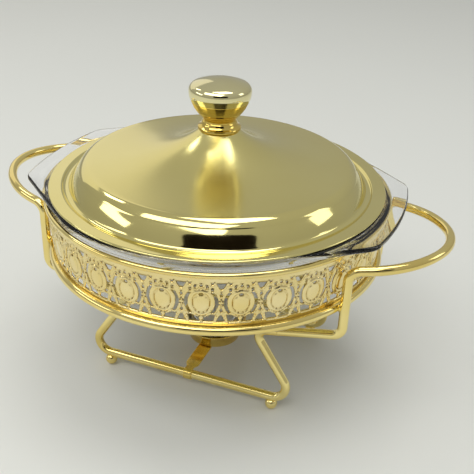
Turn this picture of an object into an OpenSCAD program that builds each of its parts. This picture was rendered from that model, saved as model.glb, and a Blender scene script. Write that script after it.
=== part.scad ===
// Round chafing dish food warmer: wire stand with a pierced band, glass dish,
// domed metal lid with a knob, and a tealight on a strap across the feet.
// Origin: centre of the footprint on the table. +Z up, handles along X.

/* [Stand rings] */
// Diameter of the wire of the bottom ring, the handles and the feet
wire_d = 6.3; // [5:0.1:7]
// Centreline radius of the bottom ring
ring_r = 114; // [112:0.5:116]
// Height of the bottom ring's centreline
ring_z = 97.1; // [95:0.1:99]
// Diameter of the thin wire of the top ring
top_wire_d = 3.5; // [3:0.1:4]
// Height of the top ring's centreline
top_ring_z = 136.4; // [135:0.1:138]

/* [Pierced band] */
// Number of oval motifs round the band
motifs = 31; // [24:1:36]
// Thickness of the band's sheet
band_t = 0.8; // [0.6:0.1:1.2]
// Diameter of one round piercing
pierce_d = 4.4; // [2:0.2:6]

/* [Handles] */
// Sideways distance from the centre to each upright
upright_y = 52.7; // [50:0.1:56]
// Distance from the centre to the uprights, along the handles
upright_x = 107.8; // [106:0.1:110]
// Height of the bend at the top of an upright
upright_top = 125.1; // [120:0.1:128]
// Height of the bend at the foot of an upright
upright_foot = 78; // [74:0.5:82]
// Distance from the centre to the tip of a handle's centreline
tip_x = 159.9; // [150:0.1:165]
// Height of the tip of a handle
tip_z = 130.3; // [128:0.1:133]

/* [Feet] */
// Distance from the centre to each foot wire
foot_y = 48; // [44:0.5:52]
// Height of the centreline of the bar between two feet
bar_z = 10; // [9.5:0.1:11]
// Where the sloping legs would meet the bar if it had no bend
leg_base_x = 81.2; // [78:0.1:84]
// Where the leg turns back under the dish
knee_x = 47.4; // [45:0.1:50]
// Height of that turn
knee_z = 62.1; // [60:0.1:66]
// Radius of a ball foot
ball_r = 4.3; // [4:0.1:5]

/* [Burner] */
// Width of the strap under the burner
strap_w = 10; // [8:0.5:14]
// Thickness of the strap
strap_t = 1.2; // [1:0.1:2]
// Radius of the burner cup's floor
cup_r = 19.4; // [19.4:0.1:20.5]
// Radius of the burner cup's lip
cup_lip_r = 24.5; // [23.5:0.5:27]
// Height of the burner cup
cup_h = 12; // [10:0.5:14]
// Radius of the tealight
candle_r = 18.3; // [17.5:0.1:18.4]
// Height of the tealight's case
candle_h = 14.5; // [13:0.5:16]

/* [Glass dish] */
// Height of the glass rim
rim_z = 143.6; // [143.4:0.1:144]
// Outer radius of the glass rim
rim_r = 115.7; // [115.2:0.1:116]
// Thickness of the glass wall
glass_t = 5; // [4:0.1:5.5]
// Height of the underside of the dish
dish_z = 86; // [84:0.5:88]
// Reach of each glass handle tab
tab_x = 128.3; // [126:0.1:130]
// Reach of a tab's corners
tab_corner_x = 122.5; // [121:0.1:124]
// Sideways reach of a tab's corners
tab_corner_y = 48.5; // [46:0.1:50]

/* [Lid and knob] */
// Outer radius of the lid's brim
lid_r = 114.5; // [113.5:0.1:115]
// Thickness of the lid's sheet
lid_t = 0.8; // [0.6:0.1:1]
// Height of the brim's top face
brim_z = 144.7; // [144.7:0.1:145.2]
// Height of the dome where the knob stands
crown_z = 181; // [180:0.1:182]
// Radius of the knob's head
knob_r = 20.8; // [18:0.1:22]
// Radius of the knob's neck
neck_r = 11.1; // [9:0.1:12]
// Height of the top of the knob
knob_top = 215; // [213:0.1:217]

/* [Hidden] */
$fn = 64;

gap = 0.3;
wire_r = wire_d / 2;
wire_sides = 12;
bend_step = 11;
top_wire_r = top_wire_d / 2;
bend_r = 8;

// Thin top ring: it stands on the band's upper edge
top_ring_r = 116.3;
top_ring_inner = top_ring_r - top_wire_r;

// Band: a strip rolled into a slightly flared ring between the two wires
band_z0 = ring_z + 2.4;
band_z1 = top_ring_z - 1.5;
band_r0 = 112.6;
band_r1 = 115.9;
motif_angle = 360 / motifs;
motif_phase = -72.2;
pierce_z = 7.5;

// Handle loop, seen square to its own sloping plane
loop_tilt = atan2(tip_z - upright_top, tip_x - upright_x);
loop_reach = (tip_x - upright_x) / cos(loop_tilt);
loop_turn = 15;
loop_lead = 10;
tip_turn = 25;
// The side arc and the tip arc meet smoothly and end at the tip
arc_u1 = cos(tip_turn) - sin(loop_turn);
arc_u2 = 1 - cos(tip_turn);
arc_v1 = cos(loop_turn) - sin(tip_turn);
arc_v2 = sin(tip_turn);
arc_u = loop_reach - loop_lead * cos(loop_turn);
arc_v = upright_y - loop_lead * sin(loop_turn);
arc_det = arc_u1 * arc_v2 - arc_u2 * arc_v1;
side_arc_r = (arc_u * arc_v2 - arc_u2 * arc_v) / arc_det;
tip_arc_r = (arc_u1 * arc_v - arc_u * arc_v1) / arc_det;

// Corner points of the wires on the front right side
upright_top_at = [upright_x, -upright_y, upright_top];
upright_foot_at = [upright_x, -upright_y, upright_foot];
knee_at = [knee_x, -foot_y, knee_z];
leg_base_at = [leg_base_x, -foot_y, bar_z];
bar_middle_at = [0, -foot_y, bar_z];
lead_dir = [cos(loop_turn) * cos(loop_tilt), sin(loop_turn), cos(loop_turn) * sin(loop_tilt)];
lead_end_at = upright_top_at + loop_lead * lead_dir;
lead_u = loop_lead * cos(loop_turn);
lead_v = loop_lead * sin(loop_turn);
// The foot wire and the handle wire are butt welded part of the way up the run
weld_share = 0.3;
weld_at = knee_at + weld_share * (upright_foot_at - knee_at);
corner_r = 10;
knee_r = 7;
ball_x = 63.2;
foot_flat = 0.2;

// Burner
strap_z0 = bar_z + wire_r - 0.1;
strap_z1 = strap_z0 + strap_t;
tongue_w = 6;
cup_t = 0.6;
cup_z0 = strap_z1;
rivet_r = 2;
rivet_head_r = 4;
rivet_head_h = 0.7;
candle_z = cup_z0 + cup_t + rivet_head_h + 0.1;
candle_t = 0.4;
wax_bottom = candle_z + candle_t;
wax_h = candle_h - 3 - candle_t;
wick_r = 0.7;
wick_length = 6;
wick_plate_r = 6;
wick_plate_t = 0.3;
wick_collar_r = 1.2;
wick_collar_h = 3;

// Glass dish
flange_z = top_ring_z + top_wire_r + gap;
wall_taper = 7;
wall_r = top_ring_inner - 0.6;
corner_or = 14;
corner_ir = 9;
floor_t = 5.5;
tab_bulge = tab_x - tab_corner_x;
tab_edge_r = (tab_corner_y * tab_corner_y + tab_bulge * tab_bulge) / (2 * tab_bulge);
tab_root_x = 64.9;
tab_root_y = sqrt(rim_r * rim_r - tab_root_x * tab_root_x) - 0.1;

// Screw that holds the knob
screw_r = 2;

// Lid: channel inside the brim, sloping wall, rolled shoulder, and a dome that flares up to the knob
channel_r = 105.2;
wall_foot_r = 100.3;
wall_head_r = 94.3;
wall_head_z = brim_z + 9.7;
wall_lean = 31;
shoulder_roll = 10;
shoulder_r = 87.6;
shoulder_z = brim_z + 14.05;
crown_r = 13;
dome_slope = 0.04;
flare_k = 23;
dome_steps = 20;
flare_at_shoulder = exp((crown_r - shoulder_r) / flare_k);
dome_rise = crown_z - shoulder_z - dome_slope * (shoulder_r - crown_r);
dome_flare = dome_rise / (1 - flare_at_shoulder);

// Knob: a hollow bowl on a ringed base, closed by a domed cap
knob_t = 1.2;
knob_floor_t = 2.5;
knob_seam = crown_z + 19.7;
base_r = 14.5;
knob_profile = [
    [screw_r, crown_z],
    [base_r - 0.7, crown_z],
    [base_r, crown_z + 0.7],
    [base_r, crown_z + 1.8],
    [base_r - 0.9, crown_z + 2.6],
    [base_r - 2.1, crown_z + 3.8],
    [neck_r + 0.6, crown_z + 5.1],
    [neck_r, crown_z + 6],
    [neck_r + 0.3, crown_z + 7.2],
    [neck_r + 1.8, crown_z + 9.3],
    [knob_r - 5, crown_z + 12.8],
    [knob_r - 3.7, crown_z + 14.9],
    [knob_r - 3.4, crown_z + 15.2],
    [knob_r - 2.2, crown_z + 17.5],
    [knob_r - 1.3, knob_seam],
    [knob_r - 1.3 - knob_t, knob_seam],
    [knob_r - 2.2 - knob_t, crown_z + 17.9],
    [knob_r - 3.7 - knob_t, crown_z + 15.6],
    [knob_r - 5 - knob_t, crown_z + 13.4],
    [neck_r + 1.8 - knob_t, crown_z + 9.9],
    [neck_r - knob_t, crown_z + 7.5],
    [neck_r - knob_t, crown_z + knob_floor_t],
    [screw_r, crown_z + knob_floor_t]];
cap_t = 1.2;
cap_edge = 5;
cap_edge_z = knob_top - 8;
cap_edge_turn = 68;
cap_dome_r = knob_r - cap_edge * (1 - cos(cap_edge_turn));
cap_dome_rise = knob_top - cap_edge_z - cap_edge * sin(cap_edge_turn);
cap_plug_r = knob_r - 1.3 - knob_t;
cap_plug_h = 1.5;
function cap_height(u) = knob_top - cap_dome_rise * u * u;
cap_profile = concat(
    [[0, knob_top - cap_t], [knob_r - 6, knob_top - cap_t - 2.5], [cap_plug_r - cap_t, cap_edge_z + 2.3]],
    [[cap_plug_r - cap_t, knob_seam - cap_plug_h], [cap_plug_r, knob_seam - cap_plug_h]],
    [[cap_plug_r, knob_seam], [knob_r - 1.2, knob_seam]],
    [[knob_r - 0.4, knob_seam + 2.5], [knob_r - 0.05, knob_seam + 4.8]],
    arc_points(knob_r - cap_edge, cap_edge_z, cap_edge, 0, cap_edge_turn, 6),
    [for (i = [1 : 6]) [cap_dome_r * (1 - i / 6), cap_height(1 - i / 6)]]);
screw_head_r = 4;
screw_head_h = 2.2;
washer_r = 6;
washer_h = 1;
washer_z = crown_z - lid_t - washer_h;
nut_z = crown_z + knob_floor_t;
nut_h = 3.2;
nut_r = 4;

// Outer radius of the dish wall at a height
function wall_at(z) = wall_r - (flange_z - z) * tan(wall_taper);

// Points of an arc, from one angle to another
function arc_points(cx, cy, r, a0, a1, n) =
    [for (i = [0 : n]) [cx + r * cos(a0 + (a1 - a0) * i / n), cy + r * sin(a0 + (a1 - a0) * i / n)]];

// Point of the dome: a steady slope, plus a flare that dies out away from the knob
function dome_height(r) =
    shoulder_z + dome_slope * (shoulder_r - r)
    + dome_flare * (exp((crown_r - r) / flare_k) - flare_at_shoulder);
function dome_point(u) =
    let (r = shoulder_r + (crown_r - shoulder_r) * u)
    [r, dome_height(r)];

// Upper surface of the lid, from the edge of the brim to its centre
lid_top = concat(
    arc_points(lid_r - 0.8, brim_z - 0.8, 0.8, 0, 90, 4),
    [[channel_r + 0.7, brim_z], [channel_r, brim_z - 0.4], [channel_r - 0.8, brim_z - 1.2]],
    [[channel_r - 2.3, brim_z - 1.6], [wall_foot_r + 1.3, brim_z - 1.3], [wall_foot_r, brim_z - 0.3]],
    arc_points(
        wall_head_r - shoulder_roll * cos(wall_lean),
        wall_head_z - shoulder_roll * sin(wall_lean),
        shoulder_roll, wall_lean, 73, 6),
    [for (i = [0 : dome_steps]) dome_point(i / dome_steps)]);

// Direction of a profile at a point, and that point moved into the sheet by a thickness
function edge_dir(points, i) =
    let (a = points[max(i - 1, 0)], b = points[min(i + 1, len(points) - 1)], d = b - a)
    d / norm(d);
function inset_point(points, i, t) = let (d = edge_dir(points, i)) points[i] + t * [-d[1], d[0]];

// A ring of round wire
module wire_ring(radius, wire, z) {
    translate([0, 0, z]) rotate_extrude($fn = 180) translate([radius, 0]) circle(wire, $fn = 32);
}

function unit(v) = v / norm(v);
function square_to(ex, d) = unit(d - (d * ex) * ex);
function turn_at(p, i) = acos(unit(p[i] - p[i - 1]) * unit(p[i + 1] - p[i]));

// Points along the bend at an inner corner of a route: an arc that touches both its legs
function bend_points(p, i, radius) =
    let (
        dir = unit(p[i] - p[i - 1]),
        side = square_to(dir, p[i + 1] - p[i]),
        turn = turn_at(p, i),
        start = p[i] - radius * tan(turn / 2) * dir,
        steps = ceil(turn / bend_step))
    [for (k = [0 : steps]) let (a = turn * k / steps)
        start + radius * (sin(a) * dir + (1 - cos(a)) * side)];

// A route that runs straight between points and is bent to a radius at each inner one
function bent_route(p, radii) = concat(
    [p[0]],
    [for (i = [1 : len(p) - 2]) each bend_points(p, i, radii[i - 1])],
    [p[len(p) - 1]]);

function mirrored_y(p) = [for (i = [len(p) - 1 : -1 : 0]) [p[i].x, -p[i].y, p[i].z]];
function mirrored_x(p) = [for (i = [len(p) - 1 : -1 : 0]) [-p[i].x, p[i].y, p[i].z]];
function all_but_last(p) = [for (i = [0 : len(p) - 2]) p[i]];

function tangent_at(p, i) =
    i == 0 ? unit(p[1] - p[0])
    : i == len(p) - 1 ? unit(p[i] - p[i - 1])
    : unit(unit(p[i] - p[i - 1]) + unit(p[i + 1] - p[i]));
// Sideways directions that follow the route without twisting
function sides_along(p, first) =
    [for (i = 0, n = square_to(tangent_at(p, 0), first);
        i < len(p);
        i = i + 1, n = i < len(p) ? square_to(tangent_at(p, i), n) : n) n];

// Round wire along a route, with flat ends
module wire_along(p, first) {
    last = len(p) - 1;
    normals = sides_along(p, first);
    rings = [for (i = [0 : last]) let (n = normals[i], b = cross(tangent_at(p, i), n))
        for (k = [0 : wire_sides - 1]) let (a = 360 * k / wire_sides)
            p[i] + wire_r * (cos(a) * n + sin(a) * b)];
    walls = [for (i = [0 : last - 1], k = [0 : wire_sides - 1])
        let (m = (k + 1) % wire_sides, lo = i * wire_sides, hi = lo + wire_sides) each [
            [lo + k, hi + k, hi + m],
            [lo + k, hi + m, lo + m]]];
    polyhedron(rings, concat(walls, [
        [for (k = [0 : wire_sides - 1]) k],
        [for (k = [wire_sides - 1 : -1 : 0]) last * wire_sides + k]]));
}

module bottom_ring() {
    color("#d8b25e") wire_ring(ring_r, wire_r, ring_z);
}

module top_ring() {
    color("#e0bc68") wire_ring(top_ring_r, top_wire_r, top_ring_z);
}

// One column of openings that pierce the band between two motifs
module piercing() {
    for (side = [-1, 1])
        translate([0, 0, (band_z0 + band_z1) / 2 + side * pierce_z])
            rotate([0, 90, 0]) cylinder(h = 12, r = pierce_d / 2, center = true, $fn = 24);
}

module pierced_band() {
    color("#d9c07a") difference() {
        rotate_extrude($fn = 180) polygon([
            [band_r0 - band_t / 2, band_z0],
            [band_r0 + band_t / 2, band_z0],
            [band_r1 + band_t / 2, band_z1],
            [band_r1 - band_t / 2, band_z1]]);
        for (i = [0 : motifs - 1])
            rotate([0, 0, motif_phase + (i + 0.5) * motif_angle])
                translate([(band_r0 + band_r1) / 2, 0, 0]) piercing();
    }
}

// Point of the handle's sloping plane: outwards and across from the top of the front upright
function on_loop(u, v) = upright_top_at + u * [cos(loop_tilt), 0, sin(loop_tilt)] + v * [0, 1, 0];
function loop_arc(cu, cv, r, a0, a1) =
    let (steps = ceil((a1 - a0) / bend_step))
    [for (k = [0 : steps]) let (a = a0 + (a1 - a0) * k / steps)
        on_loop(cu + r * sin(a), cv - r * cos(a))];

// Half of a handle: its run and upright, its side arc, and the half of its tip arc
handle_bends = bent_route([weld_at, upright_foot_at, upright_top_at, lead_end_at], [bend_r, bend_r]);
side_arc = loop_arc(
    lead_u - side_arc_r * sin(loop_turn),
    lead_v + side_arc_r * cos(loop_turn),
    side_arc_r, loop_turn, 90 - tip_turn);
tip_arc = loop_arc(loop_reach - tip_arc_r, upright_y, tip_arc_r, 90 - tip_turn, 90);
half_handle_route = concat(all_but_last(handle_bends), side_arc, all_but_last(tip_arc));

module handle_wire() {
    tip_at = on_loop(loop_reach, upright_y);
    wire_along(concat(half_handle_route, [tip_at], mirrored_y(half_handle_route)), [0, 1, 0]);
}

module left_handle_wire() {
    color("#d8b25e") mirror([1, 0, 0]) handle_wire();
}

module right_handle_wire() {
    color("#d8b25e") handle_wire();
}

// Bar with a sloping leg and a knee at each end
module foot_wire() {
    half = bent_route([bar_middle_at, leg_base_at, knee_at, weld_at], [corner_r, knee_r]);
    wire_along(concat(all_but_last(mirrored_x(half)), half), [0, 1, 0]);
}

module front_foot_wire() {
    color("#d8b25e") foot_wire();
}

module back_foot_wire() {
    color("#d8b25e") mirror([0, 1, 0]) foot_wire();
}

// Ball with a small flat where it stands
module ball_foot(side_x, side_y) {
    color("#e6c878") translate([side_x * ball_x, side_y * foot_y, 0]) intersection() {
        translate([0, 0, ball_r - foot_flat]) sphere(ball_r, $fn = 48);
        cylinder(h = 3 * ball_r, r = 2 * ball_r);
    }
}

module front_left_ball_foot() {
    ball_foot(-1, -1);
}

module front_right_ball_foot() {
    ball_foot(1, -1);
}

module back_left_ball_foot() {
    ball_foot(-1, 1);
}

module back_right_ball_foot() {
    ball_foot(1, 1);
}

// Tongue at one end of the strap, curled round the bar of a foot wire
module strap_tongue() {
    translate([-tongue_w / 2, -foot_y, bar_z]) rotate([90, 0, 90]) difference() {
        cylinder(h = tongue_w, r = wire_r + strap_t - 0.1, $fn = 48);
        translate([0, 0, -1]) cylinder(h = tongue_w + 2, r = wire_r - 0.1, $fn = 48);
        translate([0, -2 * wire_d, -1]) cube([2 * wire_d, 2 * wire_d, tongue_w + 2]);
    }
}

module burner_strap() {
    color("#c89a2c") {
        difference() {
            translate([-strap_w / 2, -foot_y, strap_z0]) cube([strap_w, 2 * foot_y, strap_t]);
            translate([0, 0, strap_z0 - 1]) cylinder(h = strap_t + 2, r = rivet_r);
        }
        strap_tongue();
        mirror([0, 1, 0]) strap_tongue();
    }
}

module burner_cup() {
    color("#c08e30") rotate_extrude() polygon([
        [rivet_r, cup_z0],
        [cup_r - 1.2, cup_z0],
        [cup_r, cup_z0 + 1.2],
        [cup_lip_r - 1.4, cup_z0 + cup_h - 1],
        [cup_lip_r - 0.4, cup_z0 + cup_h - 1],
        [cup_lip_r, cup_z0 + cup_h - 0.5],
        [cup_lip_r - 0.4, cup_z0 + cup_h],
        [cup_lip_r - 1.8, cup_z0 + cup_h],
        [cup_r - cup_t, cup_z0 + 1.4],
        [cup_r - 1.4, cup_z0 + cup_t],
        [rivet_r, cup_z0 + cup_t]]);
}

module cup_rivet() {
    color("#b98a2a") {
        translate([0, 0, strap_z0]) cylinder(h = strap_t + cup_t, r = rivet_r);
        translate([0, 0, cup_z0 + cup_t])
            cylinder(h = rivet_head_h, r1 = rivet_head_r, r2 = rivet_head_r - 0.6);
        translate([0, 0, strap_z0 - rivet_head_h])
            cylinder(h = rivet_head_h, r1 = rivet_head_r - 0.8, r2 = rivet_head_r - 0.4);
    }
}

module tealight_case() {
    color("#c9ccd0") translate([0, 0, candle_z]) rotate_extrude() polygon([
        [0, 0],
        [candle_r - 0.8, 0],
        [candle_r - 0.2, 0.6],
        [candle_r - 0.2, candle_h - 0.8],
        [candle_r, candle_h - 0.4],
        [candle_r, candle_h],
        [candle_r - 0.6, candle_h],
        [candle_r - candle_t - 0.2, candle_h - 0.6],
        [candle_r - candle_t - 0.2, candle_t],
        [0, candle_t]]);
}

module tealight_wax() {
    color("#f4f0e4") difference() {
        translate([0, 0, wax_bottom]) cylinder(h = wax_h, r = candle_r - candle_t - 0.2);
        translate([0, 0, candle_z]) cylinder(h = candle_h, r = wick_r);
        translate([0, 0, candle_z]) cylinder(h = candle_t + wick_plate_t, r = wick_plate_r);
        translate([0, 0, candle_z]) cylinder(h = wick_collar_h, r = wick_collar_r);
    }
}

module wick_tab() {
    color("#b4b8bc") {
        difference() {
            translate([0, 0, wax_bottom]) cylinder(h = wick_plate_t, r = wick_plate_r);
            translate([0, 0, candle_z]) cylinder(h = wick_collar_h, r = wick_r);
        }
        difference() {
            translate([0, 0, wax_bottom]) cylinder(h = wick_collar_h - candle_t, r = wick_collar_r);
            translate([0, 0, candle_z]) cylinder(h = wick_collar_h + 1, r = wick_r);
        }
    }
}

module tealight_wick() {
    color("#efe9d8") translate([0, 0, wax_bottom]) cylinder(h = wax_h + wick_length, r = wick_r, $fn = 24);
}

// Flat glass handle at the +X end, wider than the wall that it grows from
module glass_tab() {
    translate([0, 0, flange_z]) linear_extrude(rim_z - 0.3 - flange_z) intersection() {
        translate([tab_x - tab_edge_r, 0]) circle(tab_edge_r, $fn = 180);
        polygon([
            [tab_root_x, -tab_root_y],
            [tab_corner_x, -tab_corner_y],
            [tab_x + 1, -tab_corner_y + 8],
            [tab_x + 1, tab_corner_y - 8],
            [tab_corner_x, tab_corner_y],
            [tab_root_x, tab_root_y]]);
    }
}

module glass_dish() {
    corner_cx = wall_at(dish_z + corner_or) - corner_or;
    inner_cx = wall_at(dish_z + corner_or) - glass_t - corner_ir;
    color("#c8d4dc", 0.5) difference() {
        union() {
            rotate_extrude($fn = 180) polygon(concat(
                [[0, dish_z]],
                arc_points(corner_cx, dish_z + corner_or, corner_or, -90, 0, 10),
                [[wall_r, flange_z], [rim_r - 0.6, flange_z], [rim_r, flange_z + 0.6]],
                [[rim_r, rim_z - 1.5]],
                arc_points(rim_r - 1.5, rim_z - 1.5, 1.5, 0, 90, 4),
                [[0, rim_z]]));
            glass_tab();
            mirror([1, 0, 0]) glass_tab();
        }
        rotate_extrude($fn = 180) polygon(concat(
            [[0, dish_z + floor_t]],
            arc_points(inner_cx, dish_z + floor_t + corner_ir, corner_ir, -90, 0, 10),
            [[wall_r - glass_t, rim_z - 1.5], [wall_r - glass_t + 1.2, rim_z + 0.1], [0, rim_z + 0.1]]));
    }
}

module lid_shell() {
    color("#c9bd74") rotate_extrude($fn = 180) polygon(concat(
        lid_top,
        [[screw_r + 0.3, crown_z], [screw_r + 0.3, crown_z - lid_t], [crown_r, crown_z - lid_t]],
        [for (i = [len(lid_top) - 2 : -1 : 2]) inset_point(lid_top, i, lid_t)]));
}

// Hollow bowl of the knob, on its neck and flared base
module knob_body() {
    color("#c2a24a") rotate_extrude($fn = 96) polygon(knob_profile);
}

module knob_cap() {
    color("#d8cfa6") rotate_extrude($fn = 96) polygon(cap_profile);
}

module knob_nut() {
    color("#b8a060") translate([0, 0, nut_z]) difference() {
        cylinder(h = nut_h, r = nut_r, $fn = 6);
        translate([0, 0, -1]) cylinder(h = nut_h + 2, r = screw_r);
    }
}

module knob_screw() {
    color("#b9bcc0") {
        translate([0, 0, washer_z - screw_head_h])
            cylinder(h = screw_head_h, r1 = screw_head_r - 0.8, r2 = screw_head_r);
        translate([0, 0, washer_z]) cylinder(h = nut_z + nut_h + 1 - washer_z, r = screw_r);
    }
}

module knob_washer() {
    color("#b9bcc0") translate([0, 0, washer_z]) difference() {
        cylinder(h = washer_h, r = washer_r);
        translate([0, 0, -1]) cylinder(h = washer_h + 2, r = screw_r);
    }
}

bottom_ring();
top_ring();
pierced_band();
left_handle_wire();
right_handle_wire();
front_foot_wire();
back_foot_wire();
front_left_ball_foot();
front_right_ball_foot();
back_left_ball_foot();
back_right_ball_foot();
burner_strap();
burner_cup();
cup_rivet();
tealight_case();
tealight_wax();
tealight_wick();
wick_tab();
glass_dish();
lid_shell();
knob_body();
knob_cap();
knob_nut();
knob_screw();
knob_washer();
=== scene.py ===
from math import acos, asin, atan2, ceil, cos, degrees, hypot, pi, radians, sin, sqrt, tan

import bmesh
import bpy
import numpy as np
from mathutils import Matrix, Vector


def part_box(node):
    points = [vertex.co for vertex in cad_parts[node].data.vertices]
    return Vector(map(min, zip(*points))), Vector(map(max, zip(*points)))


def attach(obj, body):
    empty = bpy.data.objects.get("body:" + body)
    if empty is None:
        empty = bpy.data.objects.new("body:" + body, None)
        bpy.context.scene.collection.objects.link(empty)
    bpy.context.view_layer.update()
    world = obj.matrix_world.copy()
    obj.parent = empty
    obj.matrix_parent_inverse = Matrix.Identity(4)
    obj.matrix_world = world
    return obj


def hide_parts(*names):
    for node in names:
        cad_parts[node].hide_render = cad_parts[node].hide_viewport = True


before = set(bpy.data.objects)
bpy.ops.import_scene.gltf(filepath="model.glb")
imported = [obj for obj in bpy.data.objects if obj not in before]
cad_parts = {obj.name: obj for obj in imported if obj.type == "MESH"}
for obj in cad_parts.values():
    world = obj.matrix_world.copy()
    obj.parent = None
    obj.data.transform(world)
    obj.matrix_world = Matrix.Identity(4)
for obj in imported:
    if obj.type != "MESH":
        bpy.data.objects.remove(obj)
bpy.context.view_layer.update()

# Lengths are in millimetres, except in the materials and for the lamps and the dark card, where
# they are in metres.
MM = 0.001
RING_STEPS = 256
WIRE_STEPS = 20


def mm_box(node):
    """Lowest and highest corner of a CAD node, in millimetres."""
    lo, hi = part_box(node)
    return lo / MM, hi / MM


# ---------------------------------------------------------------- sizes from the frame

ring_lo, ring_hi = mm_box("bottom_ring")
WIRE_R = (ring_hi.z - ring_lo.z) / 2
RING_Z = (ring_hi.z + ring_lo.z) / 2
RING_R = ring_hi.x - WIRE_R

top_lo, top_hi = mm_box("top_ring")
TOP_WIRE_R = (top_hi.z - top_lo.z) / 2
TOP_RING_Z = (top_hi.z + top_lo.z) / 2
TOP_RING_R = top_hi.x - TOP_WIRE_R

band_lo, band_hi = mm_box("pierced_band")
BAND_T = 0.8
BAND_R1 = band_hi.x - BAND_T / 2
BAND_R0 = BAND_R1 - 3.3
BAND_H = band_hi.z - band_lo.z

TIP_X = mm_box("right_handle_wire")[1].x - WIRE_R
TIP_Z = 130.3
UPRIGHT_X = 107.8
UPRIGHT_Y = 52.7
UPRIGHT_TOP = 125.1
UPRIGHT_FOOT = 78.0

BAR_Z = mm_box("front_foot_wire")[0].z + WIRE_R
FOOT_Y = 48.0
LEG_BASE_X = 81.2
KNEE_X = 47.4
KNEE_Z = 62.1
WELD_SHARE = 0.3

cup_lo, cup_hi = mm_box("burner_cup")
case_lo, case_hi = mm_box("tealight_case")
wax_lo, wax_hi = mm_box("tealight_wax")
wick_lo, wick_hi = mm_box("tealight_wick")

dish_lo, dish_hi = mm_box("glass_dish")
RIM_Z = dish_hi.z
TAB_X = dish_hi.x
RIM_R = 115.7
FLANGE_Z = 138.45
WALL_R = TOP_RING_R - TOP_WIRE_R - 0.6
WALL_TAPER = radians(7)
GLASS_T = 5.0
FLOOR_T = 5.5
TAB_CORNER = (122.5, 48.5)
TAB_ROOT = (64.9, sqrt(RIM_R ** 2 - 64.9 ** 2))

lid_lo, lid_hi = mm_box("lid_shell")
LID_R = lid_hi.x
LID_T = 0.8
BRIM_Z = lid_lo.z + 2.4
CROWN_Z = lid_hi.z

cap_hi = mm_box("knob_cap")[1]
KNOB_R = cap_hi.x
KNOB_TOP = cap_hi.z
SEAM_Z = CROWN_Z + 19.7


# ---------------------------------------------------------------- curves

def unit(v):
    return v / np.linalg.norm(v)


def arc(cx, cy, radius, from_deg, to_deg, steps):
    """Points of a circular arc in a profile plane."""
    turns = np.radians(np.linspace(from_deg, to_deg, steps + 1))
    return [(cx + radius * cos(t), cy + radius * sin(t)) for t in turns]


def spline(points, per_span):
    """Smooth curve through the points (centripetal Catmull-Rom)."""
    p = [np.array(q, float) for q in points]
    p = [2 * p[0] - p[1]] + p + [2 * p[-1] - p[-2]]
    out = []
    for i in range(1, len(p) - 2):
        p0, p1, p2, p3 = p[i - 1:i + 3]
        t1 = np.linalg.norm(p1 - p0) ** 0.5
        t2 = t1 + np.linalg.norm(p2 - p1) ** 0.5
        t3 = t2 + np.linalg.norm(p3 - p2) ** 0.5
        for k in range(per_span):
            t = t1 + (t2 - t1) * k / per_span
            a1 = (t1 - t) / t1 * p0 + t / t1 * p1
            a2 = (t2 - t) / (t2 - t1) * p1 + (t - t1) / (t2 - t1) * p2
            a3 = (t3 - t) / (t3 - t2) * p2 + (t - t2) / (t3 - t2) * p3
            b1 = (t2 - t) / t2 * a1 + t / t2 * a2
            b2 = (t3 - t) / (t3 - t1) * a2 + (t - t1) / (t3 - t1) * a3
            out.append(tuple((t2 - t) / (t2 - t1) * b1 + (t - t1) / (t2 - t1) * b2))
    out.append(tuple(p[-2]))
    return out


def offset_left(points, distance):
    """The same curve moved to the left of its direction of travel."""
    p = np.array(points)
    along = np.gradient(p, axis=0)
    along /= np.linalg.norm(along, axis=1)[:, None]
    return [tuple(q) for q in p + distance * np.stack([-along[:, 1], along[:, 0]], 1)]


def bent_route(points, radii, step=radians(4)):
    """Runs straight between points and turns through an arc at each inner one."""
    p = [np.array(q, float) for q in points]
    out = [p[0]]
    for i in range(1, len(p) - 1):
        ahead = unit(p[i] - p[i - 1])
        after = unit(p[i + 1] - p[i])
        turn = acos(np.clip(ahead @ after, -1, 1))
        side = unit(after - (after @ ahead) * ahead)
        radius = radii[i - 1]
        start = p[i] - radius * tan(turn / 2) * ahead
        steps = max(2, ceil(turn / step))
        for k in range(steps + 1):
            a = turn * k / steps
            out.append(start + radius * (sin(a) * ahead + (1 - cos(a)) * side))
    out.append(p[-1])
    return out


# ---------------------------------------------------------------- meshes

def mesh_object(name, verts, faces, material, sharp_deg=35.0):
    """A mesh object from millimetre points, smooth except at sharp edges."""
    mesh = bpy.data.meshes.new(name)
    mesh.from_pydata([tuple(c * MM for c in v) for v in verts], [], faces)
    mesh.validate()
    mesh.shade_smooth()
    mesh.set_sharp_from_angle(angle=radians(sharp_deg))
    mesh.materials.append(material)
    obj = bpy.data.objects.new(name, mesh)
    bpy.context.scene.collection.objects.link(obj)
    return obj


def lathe(profile, segments=RING_STEPS, closed=True, wave=None):
    """Turns a profile of (r, z) points about Z. A closed profile joins its ends.
    wave(angle, r, z) may change a point's radius."""
    verts = []
    rings = []
    for r, z in profile:
        if r < 1e-6:
            rings.append([len(verts)] * segments)
            verts.append((0.0, 0.0, z))
            continue
        rings.append(list(range(len(verts), len(verts) + segments)))
        for k in range(segments):
            a = 2 * pi * k / segments
            rr = wave(a, r, z) if wave else r
            verts.append((rr * cos(a), rr * sin(a), z))
    faces = []
    last = len(rings) if closed else len(rings) - 1
    for i in range(last):
        lower, upper = rings[i], rings[(i + 1) % len(rings)]
        for k in range(segments):
            m = (k + 1) % segments
            loop = [lower[k], lower[m], upper[m], upper[k]]
            face = [v for j, v in enumerate(loop) if v != loop[j - 1]]
            if len(set(face)) > 2:
                faces.append(tuple(face))
    return verts, faces


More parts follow.
